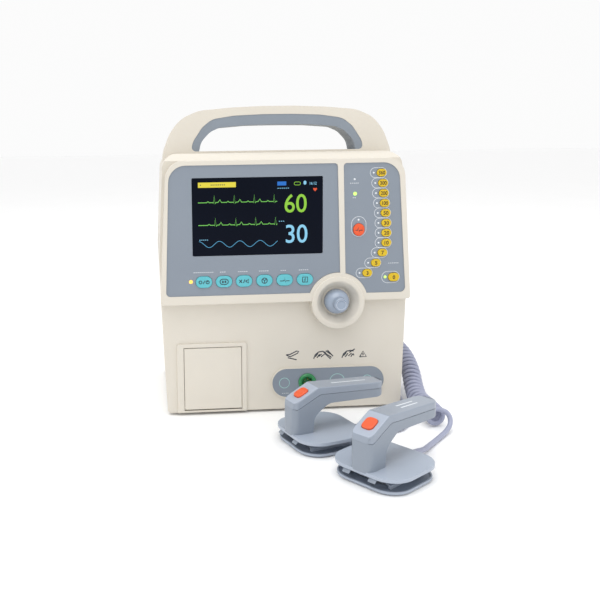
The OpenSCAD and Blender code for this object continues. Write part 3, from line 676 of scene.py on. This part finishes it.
for energy, x, z in energy_at + [zero_at]:
    body = "energy_%d_cap" % energy
    key_cap("energy_key_%d" % energy, body, yellow_silicone)
    number = digits("number_%d" % energy, str(energy), 4.7, 0.86 if energy > 99 else 1.0, 0.06, 0.02)
    on_front(number, x, key_print, z, body, brown_ink)
key_cap("sync_key", "sync_cap", orange_silicone)
pulse = [(-4.2, -0.6), (-1.8, -0.6), (-1.0, 2.6), (0.2, -2.4), (1.0, -0.6), (4.2, -0.6)]
on_front(ink_lines("sync_mark", [pulse], 0.95, 0.08), sync_x, key_print, sync_z, "sync_cap", dark_ink)


# ---- Selection knob ----
# A turned-looking knob of blue-grey gloss ABS: a low dome with a smaller tip to pinch, whose flat face is
# dished. It presses on a steel shaft and stands in a bowl, so that it turns under one fingertip.
gloss_abs, shader = finish_of("gloss_blue_grey_abs", Specular_IOR_Level=0.55, Coat_Weight=0.5,
    Coat_Roughness=0.08)
grain(gloss_abs, shader, "8e9bae", "98a5b7", 20, 0.8, 0.01, (0.18, 0.25))
knob_profile = [(3.1, 17.2), (3.1, 0), (15, 0), (15, 1.8), (14.9, 4.4), (14.3, 7), (13.1, 9.4), (11.5, 11.4),
    (9.9, 12.8), (8.6, 13.8), (8.1, 14.8), (8, 16.5), (8, 23.2), (7.7, 24.4), (6.9, 25), (6.2, 24.9),
    (5.7, 24.4), (4, 24.1), (2, 24.0), (0, 24.0)]
to_front = (0, -1, 0)


def turned(name, profile, centre, axis, steps=64):
    """A profile of radius and height, in millimetres, spun into a round piece at the centre along an axis."""
    mesh = bpy.data.meshes.new(name)
    spans = [(i, i + 1) for i in range(len(profile) - 1)]
    mesh.from_pydata([(r / 1000, 0, h / 1000) for r, h in profile], spans, [])
    piece = bpy.data.objects.new(name, mesh)
    bpy.context.collection.objects.link(piece)
    pick(piece)
    bpy.ops.object.mode_set(mode="EDIT")
    bpy.ops.mesh.select_all(action="SELECT")
    bpy.ops.mesh.spin(steps=steps, angle=math.tau, center=(0, 0, 0), axis=(0, 0, 1))
    bpy.ops.mesh.select_all(action="SELECT")
    bpy.ops.mesh.remove_doubles(threshold=0.000005)
    bpy.ops.mesh.select_all(action="SELECT")
    bpy.ops.mesh.normals_make_consistent(inside=False)
    bpy.ops.object.mode_set(mode="OBJECT")
    turn = Vector((0, 0, 1)).rotation_difference(Vector(axis)).to_matrix().to_4x4()
    piece.data.transform(Matrix.Translation(Vector(centre) / 1000) @ turn)
    bpy.ops.object.shade_smooth_by_angle(angle=math.radians(40))
    return piece


knob = turned("turned_knob", knob_profile, (knob_x, -90.1, knob_z), to_front)
knob.data.materials.append(gloss_abs)
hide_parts("selection_knob")
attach(knob, "knob")
knob_ring = turned("knob_tip_ring", [(5.5, 0), (5.95, 0), (5.95, 0.12), (5.5, 0.12), (5.5, 0)],
    (knob_x, -114.45, knob_z), to_front, 48)
knob_ring.data.materials.append(light_ink)
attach(knob_ring, "knob")


# ---- Strip printer ----
# A flush door, hinged on two pins at its foot, closes the paper bay. Behind it are a rubber platen roller,
# a grey bucket with the print head, and a roll of thermal paper.
door_panel = moulded_copy("printer_door", "door", cream_abs,
    [(lambda p: abs(p.y - lower_y) < 0.1, 0.9, 4)], 0.2)
platen_rubber, shader = finish_of("ground_platen_rubber", Specular_IOR_Level=0.3)
grain(platen_rubber, shader, "2b2d31", "35373c", 8, 0.4, 0.04, (0.6, 0.75))
bucket_abs, shader = finish_of("moulded_grey_abs", Specular_IOR_Level=0.4)
grain(bucket_abs, shader, "565a61", "62676f", 30, 0.8, 0.04, (0.45, 0.58))
thermal_paper, shader = finish_of("wound_thermal_paper", Specular_IOR_Level=0.3)
place = add(thermal_paper, "ShaderNodeTexCoord").outputs["Object"]
roll_middle = (0.0883, 0.052, -0.0368)
level = add(thermal_paper, "ShaderNodeMapping", {"Vector": place, "Location": roll_middle}).outputs["Vector"]
rings = add(thermal_paper, "ShaderNodeTexWave", {"Vector": level, "Scale": 420, "Distortion": 0.4},
    wave_type="RINGS", rings_direction="X").outputs["Fac"]
paper_tint = add(thermal_paper, "ShaderNodeValToRGB", {"Fac": rings})
paper_tint.color_ramp.elements[0].color = linear("e4e1d8")
paper_tint.color_ramp.elements[1].color = linear("f7f5ef")
thermal_paper.node_tree.links.new(paper_tint.outputs["Color"], shader.inputs["Base Color"])
layers = add(thermal_paper, "ShaderNodeBump", {"Height": rings, "Strength": 0.3, "Distance": 0.0001})
thermal_paper.node_tree.links.new(layers.outputs["Normal"], shader.inputs["Normal"])
shader.inputs["Roughness"].default_value = 0.7
for node, body, material, last_mm, slot in (
    ("platen_roller", "platen", platen_rubber, 0.2, "foot_rubber"),
    ("printer_bucket", "unit", bucket_abs, 0.3, "dark_moulding"),
    ("paper_roll", "paper", thermal_paper, 0.1, "roll_paper")):
    moulded_copy(node, body, material, [], last_mm)


# ---- Connector panel ----
# A slate-grey plate is let into the lower front. It carries the green round socket for the patient lead,
# with gilt pins in a green insert, and light printed rings where other sockets would go.
coat("connector_panel", panel_film)
socket_x, socket_z = 26.8, 35.5
socket_base = (socket_x, -81.5, socket_z)
green_nylon, shader = finish_of("green_glazed_nylon", Specular_IOR_Level=0.5, Coat_Weight=0.2,
    Coat_Roughness=0.2)
grain(green_nylon, shader, "17743f", "208a4d", 6, 0.5, 0.02, (0.3, 0.4))
ring_ink, shader = finish_of("pale_green_ink")
grain(ring_ink, shader, "9cc7c6", "a9d2d0", 6, 0.6, 0.01)
gilt, shader = finish_of("gilt_contact", Metallic=1.0)
grain(gilt, shader, "caa14a", "d9b45c", 3, 0.3, 0.01, (0.25, 0.35))
black_nylon, shader = finish_of("black_filled_nylon", Specular_IOR_Level=0.4)
grain(black_nylon, shader, "15171a", "1e2125", 8, 0.4, 0.03, (0.45, 0.55))
socket_shell = turned("lead_socket_shell", [(6.5, 0), (6.5, 8.0), (6.9, 8.5), (8.6, 9.6), (9.4, 9.5),
    (10.2, 8.6), (10.9, 8.0), (10.9, 4.6), (8.4, 4.6), (8.4, 0)], socket_base, to_front)
socket_shell.data.materials.append(green_nylon)
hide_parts("ecg_socket")
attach(socket_shell, "unit")
insert = turned("lead_socket_insert", [(0, 0), (6.5, 0), (6.5, 1.6), (6.1, 2.0), (0, 2.0)], socket_base,
    to_front)
insert.data.materials.append(green_nylon)
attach(insert, "unit")
for k in range(6):
    a = math.radians(60 * k + 20)
    pin = turned("lead_contact_%d" % k, [(0, 0), (0.55, 0), (0.55, 4.2), (0.3, 4.8), (0, 4.9)],
        (socket_x + 3.7 * math.cos(a), -83.4, socket_z + 3.7 * math.sin(a)), to_front, 12)
    pin.data.materials.append(gilt)
    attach(pin, "unit")
for name, x, radius, last, pen in (("lead_socket_ring", socket_x, 10.6, 348, 0.6),
    ("spare_ring_one", -1.4, 6.2, 350, 0.7), ("spare_ring_two", 63.8, 9.2, 350, 0.7),
    ("spare_ring_three", 101, 6.2, 350, 0.7)):
    ring = ink_lines(name, [arc(radius, 0, last, steps=40)], pen, 0.1, closed=True)
    on_front(ring, x, connector_y, socket_z, "unit", ring_ink)
socket_dashes = [[(x + 2.2 * k - 3, 22.6), (x + 2.2 * k - 1.8, 22.6)] for x in (-1.4, socket_x, 101)
    for k in range(4)]
on_front(ink_lines("socket_captions", socket_dashes, 0.7, 0.1), 0, connector_y, 0, "unit", light_ink)
# plain guide drawings over the sockets: a plug, a chest with two pads, a chest with one pad, and a triangle
drawings = [[(1, 70), (6, 67.5), (15, 71.5), (16.5, 74), (14, 74.4), (6, 70.5), (1, 70)],
    [(3, 66.5), (14, 63.6)],
    [(35, 64), (37, 69), (41, 72.2), (46, 73), (50, 71.2)], [(39, 65), (42.5, 69.5)],
    [(44, 66), (49, 69.8), (56, 63)],
    [(47, 72), (52.5, 68.2), (57, 65)], [(41, 66.5), (45, 69.6)], [(37, 66.5), (40.5, 70.6)],
    [(52, 74.2), (59, 66.4)], [(50, 73.6), (56, 69)],
    [(70, 64), (72, 69), (76, 72.2), (81, 73), (84.5, 72)], [(74, 65), (77.5, 69.5)], [(78, 66), (82, 69.6)],
    [(79, 70.5), (86, 74.6)], [(72, 66.5), (75.5, 70.6)], [(83.5, 69), (85, 66.5)], [(81, 65), (83.5, 68.5)],
    [(92, 64.4), (96.2, 71.4), (100.4, 64.4), (92, 64.4)], [(96.2, 66.2), (96.2, 69)]]
on_front(ink_lines("guide_drawings", drawings, 1.35, 0.1), 0, lower_print_y, 0, "unit", dark_ink)


# ---- Hand paddles ----
# Each paddle is a pistol-like handle of satin grey ABS on a wide guard plate. A cap of the same grey closes
# the handle along a parting line that runs all round. Its sloping end carries the orange discharge button.
# The cap is painted lighter than the handle's sides, and its sloping end and the guard lighter still, as
# painted highlight from the light above.
def satin(name, coat_weight, coat_rough, low, high, mottle_mm, grain_mm, depth_mm, rough):
    """ABS with a satin face: a thin clear sheen over its own colour."""
    material, abs_shader = finish_of(name, Specular_IOR_Level=0.5, Coat_Weight=coat_weight,
        Coat_Roughness=coat_rough)
    grain(material, abs_shader, low, high, mottle_mm, grain_mm, depth_mm, rough)
    return material


paddle_abs = satin("satin_paddle_abs", 0.12, 0.25, "828b98", "89929e", 45, 0.8, 0.03, (0.32, 0.40))
# the cap, its sloping end and the guard are the handle's one grey ABS, painted lighter: painted highlight on
# faces lit from above
cap_painted_highlight_abs = satin("satin_cap_abs_painted_highlight", 0.15, 0.22, "8a93a1", "929ba8", 45, 0.8, 0.03, (0.30, 0.38))
brow_painted_highlight_abs = satin("satin_brow_abs_painted_highlight", 0.15, 0.22, "a3acbb", "abb4c2", 45, 0.8, 0.03, (0.30, 0.38))
guard_painted_highlight_abs = satin("satin_guard_abs_painted_highlight", 0.12, 0.25, "a1abb9", "a9b2c0", 45, 0.8, 0.03, (0.32, 0.40))
button_abs = satin("orange_button_abs", 0.15, 0.2, "e05528", "e86133", 10, 0.5, 0.02, (0.3, 0.38))
plate_steel, shader = finish_of("brushed_electrode_steel", Metallic=1.0, Anisotropic=0.4)
grain(plate_steel, shader, "b4b8bd", "c6cacf", 12, 0.35, 0.02, (0.26, 0.36), (1, 12, 1))
plate_rim = satin("moulded_plate_rim", 0.1, 0.3, "9aa3b1", "a5aebc", 30, 0.8, 0.03, (0.34, 0.42))
plate_floor, shader = finish_of("moulded_plate_floor", Specular_IOR_Level=0.45)
grain(plate_floor, shader, "727b8a", "7c8594", 30, 0.8, 0.04, (0.42, 0.52))

guard_top = 16.5  # heights and places on a paddle are in millimetres, from the middle of its plate
tab_size, tab_droop = (0.009, 0.0084, 0.0012), (-0.003, 0, -0.0026)
tab_x, tab_y, tab_z = -33.2, 15, 12.6
button_at, button_out = Vector((-23.5, 0, 57.7)), Vector((-0.4478, 0, 0.8942))
button_proud = 1.5
relief_at = Vector((20, 0, 9.2))
cap_drop, cap_run = 65 - 60.6, 79  # the cap's top falls this far towards the back

for paddle, at, turn in (("sternum", (20, -184), 18), ("apex", (63, -273), 36)):
    spin = Matrix.Rotation(math.radians(turn), 4, "Z")
    stand = Matrix.Translation((at[0], at[1], 0)) @ spin
    home = stand.inverted()

    def outside(p, home=home):
        q = home @ p
        return abs(q.y) > 10.7 or q.x < -36.2 or (q.x > 64 and math.hypot(q.x - 66, q.y) > 9.4)

    def on_plate_edge(p, home=home):
        q = home @ p
        return 12.5 < p.z < 17 and (abs(q.x) > 31 or abs(q.y) > 32)

    def on_post_foot(p, home=home):
        q = home @ p
        return abs(p.z - guard_top) < 0.2 and abs(q.y) < 14 and q.x < -8 and abs(q.x) < 40.5

    def on_cap_top(p, home=home):
        q = home @ p
        low_z = 47.3 + (q.x + 38) * 0.48 if q.x < -8 else 61 - (q.x + 8) * 0.068
        return outside(p) and q.z > low_z

    def on_parting(p, home=home):
        q = home @ p
        if q.x < -34.5:
            line_z = 43.6 - (q.x + 34.5) * 0.222
        elif q.x < -6.5:
            line_z = 43.6 + (q.x + 34.5) * 0.475
        else:
            line_z = 56.9 - (q.x + 6.5) * 0.0473
        return outside(p) and abs(q.z - line_z) < 0.6

    def on_button_rim(p, home=home):
        return ((home @ p) - button_at).dot(button_out) > button_proud

    shell = moulded_copy(paddle + "_shell", paddle + "_paddle", paddle_abs, [
        (on_plate_edge, 1.3, 4),
        (on_post_foot, 2.2, 4),
        (on_parting, 0.7, 2),
        (lambda p: guard_top + 0.5 < p.z < 52 and outside(p) and (home @ p).x > -20, 3.2, 4)], 0.25, 38)
    # the guard plate's faces, below its top, take a lighter copy of the same grey: painted highlight for a
    # plate that faces the light above
    shell.data.materials.append(guard_painted_highlight_abs)
    for face in shell.data.polygons:
        if face.center.z < (guard_top + 0.1) * mm:
            face.material_index = 1
    cap = moulded_copy(paddle + "_cover", paddle + "_paddle", cap_painted_highlight_abs, [
        (on_cap_top, 1.3, 4),
        (on_parting, 0.7, 2)], 0, 38, clamp=False)
    cap.data.materials.append(brow_painted_highlight_abs)
    # the faces that slope up from the front take a still lighter copy of the grey, as painted highlight where
    # they face the light
    for face in cap.data.polygons:
        lean = home.to_3x3() @ face.normal
        if lean.x < -0.3 and lean.z > 0.75:
            face.material_index = 1
    button = moulded_copy(paddle + "_button", paddle + "_fire", button_abs, [(on_button_rim, 1.0, 4)], 0, 50)
    plate = moulded_copy(paddle + "_adult_electrode", paddle + "_plate", plate_rim, [
        (lambda p: 3.4 < p.z < 3.8, 0.5, 3)], 0.2, 38)
    plate.data.materials.append(plate_steel)
    plate.data.materials.append(plate_floor)
    # the steel is the plate's underside, and a darker floor lies inside its raised rim
    for face in plate.data.polygons:
        if face.center.z < 0.0011:
            face.material_index = 1
        elif face.normal.z > 0.9 and face.center.z < 0.003:
            face.material_index = 2
    coat(paddle + "_child_electrode", plate_steel)

    # two spring tabs at the front edge release the adult plate
    for side in (-1, 1):
        bpy.ops.object.select_all(action="DESELECT")
        bpy.ops.mesh.primitive_cube_add(size=1, location=(0, 0, 0))
        tab = bpy.context.object
        tab.name = "%s_release_tab_%s" % (paddle, "left" if side > 0 else "right")
        tab.data.transform(Matrix.Diagonal(tab_size + (1,)))
        bpy.ops.object.mode_set(mode="EDIT")
        bpy.ops.mesh.select_mode(type="FACE")
        bpy.ops.mesh.select_all(action="DESELECT")
        shape = bmesh.from_edit_mesh(tab.data)
        for face in shape.faces:
            face.select = face.normal.x < -0.9
        bmesh.update_edit_mesh(tab.data)
        bpy.ops.mesh.extrude_region_move(TRANSFORM_OT_translate={"value": tab_droop})
        bpy.ops.mesh.select_all(action="SELECT")
        bpy.ops.mesh.bevel(offset=0.0004, segments=3, affect="EDGES")
        bpy.ops.object.mode_set(mode="OBJECT")
        tab_place = Matrix.Translation((tab_x, tab_y * side, tab_z))
        tab.data.transform(to_metres @ stand @ tab_place @ Matrix.Diagonal((1000, 1000, 1000, 1)))
        bpy.ops.object.shade_smooth_by_angle(angle=math.radians(40))
        tab.data.materials.append(paddle_abs)
        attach(tab, paddle + "_paddle")

    # a printed mark on top of the cap tells the two paddles apart: one bar or two
    bars = [[(14, 0), (58, 0)]] if paddle == "sternum" else [[(22, 3), (50, 3)], [(22, -3), (50, -3)]]
    mark = ink_lines(paddle + "_cap_mark", bars, 2.2, 0.14)
    tilt = Matrix.Rotation(math.atan2(cap_drop, cap_run), 4, "Y")
    lay = stand @ Matrix.Translation((-9, 0, 65.03)) @ tilt @ Matrix.Translation((9, 0, 0))
    mark.data.transform(to_metres @ lay)
    mark.data.materials.clear()
    mark.data.materials.append(light_ink)
    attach(mark, paddle + "_paddle")

    # the moulded relief keeps the cord from kinking where it leaves the guard's back edge
    ribs = [(0, 0), (3.7, 0)]
    for k in range(6):
        grip_r = 3.7 - 0.11 * k
        ribs += [(grip_r, 6 + 3 * k), (grip_r - 0.7, 6.5 + 3 * k), (grip_r - 0.7, 7.6 + 3 * k),
            (grip_r, 8.1 + 3 * k)]
    ribs += [(3.05, 25.4), (2.75, 26), (0, 26)]
    relief = turned(paddle + "_ribbed_relief", ribs, stand @ relief_at, spin @ Vector((1, 0, 0)), 24)
    relief.data.materials.append(cord_jacket)
    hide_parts(paddle + "_cord_relief")
    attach(relief, paddle + "_paddle")


# ---- Paddle plug ----
# Both cords end in one round grey plug that pushes into the unit's right side. A block under it turns them
# down.
plug = moulded_copy("paddle_plug", "unit", paddle_abs,
    [(lambda p: p.x > 171.5 and p.z > 83, 2.0, 4)], 0.6, 38)


# ---- Back, base and inside ----
# The battery slides in from the back behind its own grey end, beside the mains inlet. Rubber feet carry the
# unit, and steel screws hold the two shells together over the boards, the capacitor and the speaker.
battery_abs, shader = finish_of("textured_battery_abs", Specular_IOR_Level=0.4)
grain(battery_abs, shader, "4a4e55", "555a62", 30, 0.8, 0.06, (0.48, 0.6))
battery = moulded_copy("battery_pack", "battery", battery_abs, [(lambda p: p.y > back_y - 0.2, 1.0, 3)], 0.3)
inlet = moulded_copy("mains_inlet", "unit", black_nylon, [(lambda p: p.y > back_y + 0.8, 0.6, 3)], 0.2)
foot_rubber, shader = finish_of("moulded_foot_rubber", Specular_IOR_Level=0.3)
grain(foot_rubber, shader, "33353a", "3e4147", 10, 0.6, 0.08, (0.65, 0.8))
feet = moulded_copy("rubber_feet", "unit", foot_rubber, [(lambda p: p.z < 0.2, 0.6, 3)], 0)
zinc_steel, shader = finish_of("zinc_plated_steel", Metallic=1.0)
grain(zinc_steel, shader, "aeb3b8", "bfc3c7", 8, 0.5, 0.01, (0.28, 0.4))
board_resin, shader = finish_of("solder_masked_board", Specular_IOR_Level=0.5)
grain(board_resin, shader, "245c3f", "2f6b4a", 12, 0.8, 0.02, (0.3, 0.42))
can_sleeve, shader = finish_of("blue_shrink_sleeve", Specular_IOR_Level=0.5)
grain(can_sleeve, shader, "2b4a6d", "355881", 25, 1.0, 0.03, (0.3, 0.4))
for node, material in (("case_screws", zinc_steel), ("encoder_shaft", zinc_steel), ("chassis", zinc_steel),
    ("keypad_board", board_resin), ("main_board", board_resin), ("charger_board", board_resin),
    ("hv_capacitor", can_sleeve), ("speaker", bucket_abs)):
    coat(node, material)
crosses = [stroke for x, z in ((-134, 20), (134, 20), (-138, 290), (138, 290))
    for stroke in ([(x - 1.6, z), (x + 1.6, z)], [(x, z - 1.6), (x, z + 1.6)])]
on_front(ink_lines("screw_crosses", crosses, 0.7, 0.06), 0, case_back_y, 0, "unit", dark_ink)


# ---- Studio ----
# A pale seamless table, one broad soft light high on the left, a wide fill on the right, another light
# overhead and a bright room all round, so that shadows stay faint and close to what casts them.
bpy.ops.mesh.primitive_plane_add(size=80, location=(0, 20, -0.0004))
table = bpy.context.object
table.name = "pale_table"
table_paint, shader = finish_of("pale_matte_table", Specular_IOR_Level=0.2)
grain(table_paint, shader, "fbfbfb", "fefefe", 300, 2.0, 0.02, (0.7, 0.8))
table.data.materials.append(table_paint)
for name, place, aim, size, power in (
    ("key_light", (-0.9, -1.1, 2.4), (0, -0.1, 0.15), 1.6, 15),
    ("fill_light", (1.7, -1.2, 1.1), (0.05, -0.1, 0.15), 1.8, 4),
    ("top_light", (0.1, -0.1, 2.4), (0, 0, 0.2), 1.6, 14)):
    bpy.ops.object.light_add(type="AREA", location=place)
    lamp = bpy.context.object
    lamp.name = name
    lamp.data.size = size
    lamp.data.energy = power
    lamp.rotation_euler = (Vector(aim) - Vector(place)).to_track_quat("-Z", "Y").to_euler()
room = bpy.data.worlds.new("bright_room")
room.use_nodes = True
sky = room.node_tree.nodes["Background"]
sky.inputs["Color"].default_value = (1.0, 1.0, 1.0, 1.0)
sky.inputs["Strength"].default_value = 0.97
bpy.context.scene.world = room
bpy.context.scene.view_settings.view_transform = "Standard"
